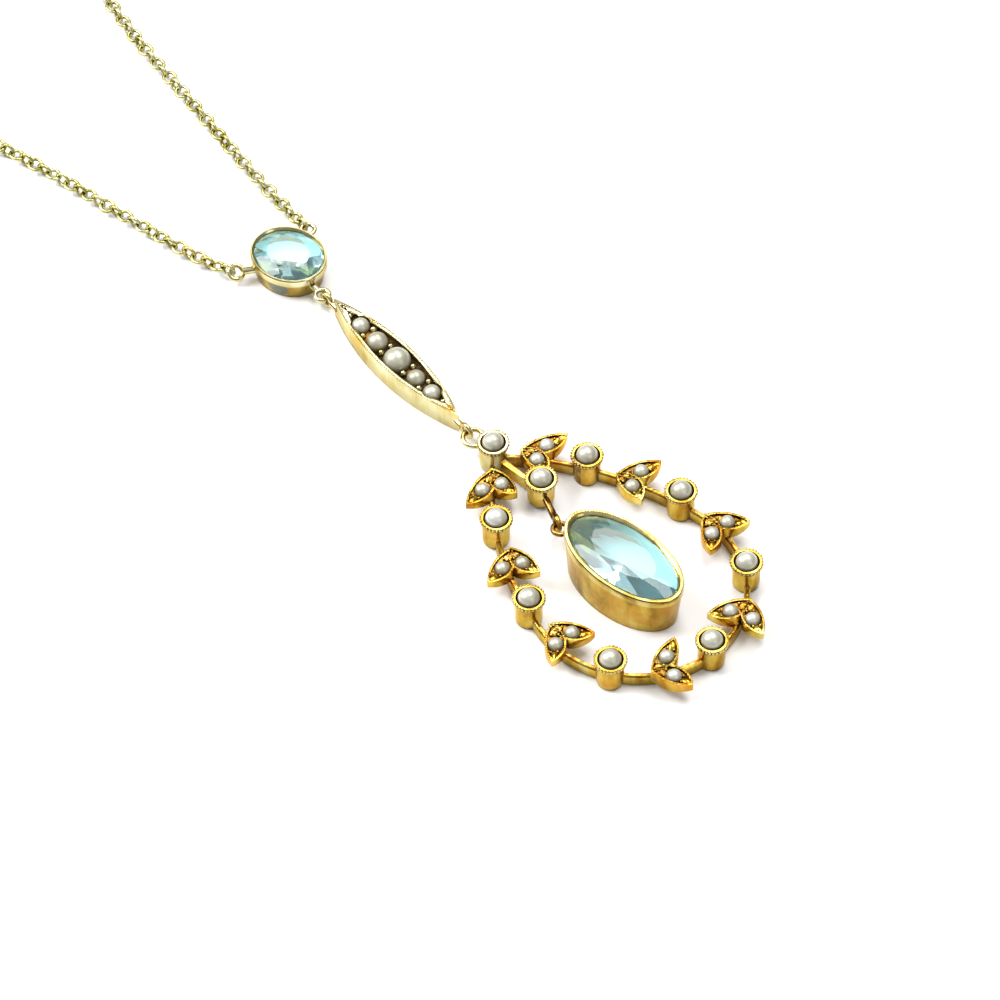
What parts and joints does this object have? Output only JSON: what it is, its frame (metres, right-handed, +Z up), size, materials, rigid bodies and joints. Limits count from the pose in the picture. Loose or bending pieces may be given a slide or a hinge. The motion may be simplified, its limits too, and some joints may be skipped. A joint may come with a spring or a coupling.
{
  "type": "lavaliere necklace",
  "caption": "Lavaliere necklace lying on a table: oval blue stone hanging in a leafy pearl-set wreath, under a pearl bar and a small oval stone, on a fine link chain.",
  "frame": {"origin": "middle of the back of the wreath's top collet, on the table", "axes": "+X to the wearer's left side as seen from the front, +Y up the necklace from the wreath to the chain, +Z up from the table"},
  "size_m": [0.0883, 0.2367, 0.0047],
  "materials": {
    "gold": "polished",
    "pale_gold": "polished",
    "aquamarine": "polished",
    "pearl": "satin"
  },
  "bodies": {
    "root": {"wreath": "gold", "drop_setting": "gold", "top_setting": "gold", "bar_setting": "pale_gold", "chain_left": "pale_gold", "chain_right": "pale_gold", "clasp": "pale_gold", "drop_stone": "aquamarine", "top_stone": "aquamarine", "inner_pearl": "pearl", "wreath_pearl_1": "pearl", "wreath_pearl_2": "pearl", "wreath_pearl_3": "pearl", "wreath_pearl_4": "pearl", "wreath_pearl_5": "pearl", "wreath_pearl_6": "pearl", "wreath_pearl_7": "pearl", "wreath_pearl_8": "pearl", "leaf_pearl_1": "pearl", "leaf_pearl_2": "pearl", "leaf_pearl_3": "pearl", "leaf_pearl_4": "pearl", "leaf_pearl_5": "pearl", "leaf_pearl_6": "pearl", "leaf_pearl_7": "pearl", "leaf_pearl_8": "pearl", "leaf_pearl_9": "pearl", "leaf_pearl_10": "pearl", "leaf_pearl_11": "pearl", "leaf_pearl_12": "pearl", "leaf_pearl_13": "pearl", "leaf_pearl_14": "pearl", "leaf_pearl_15": "pearl", "leaf_pearl_16": "pearl", "bar_pearl_1": "pearl", "bar_pearl_2": "pearl", "bar_pearl_3": "pearl", "bar_pearl_4": "pearl", "bar_pearl_5": "pearl"}
  },
  "joints": []
}
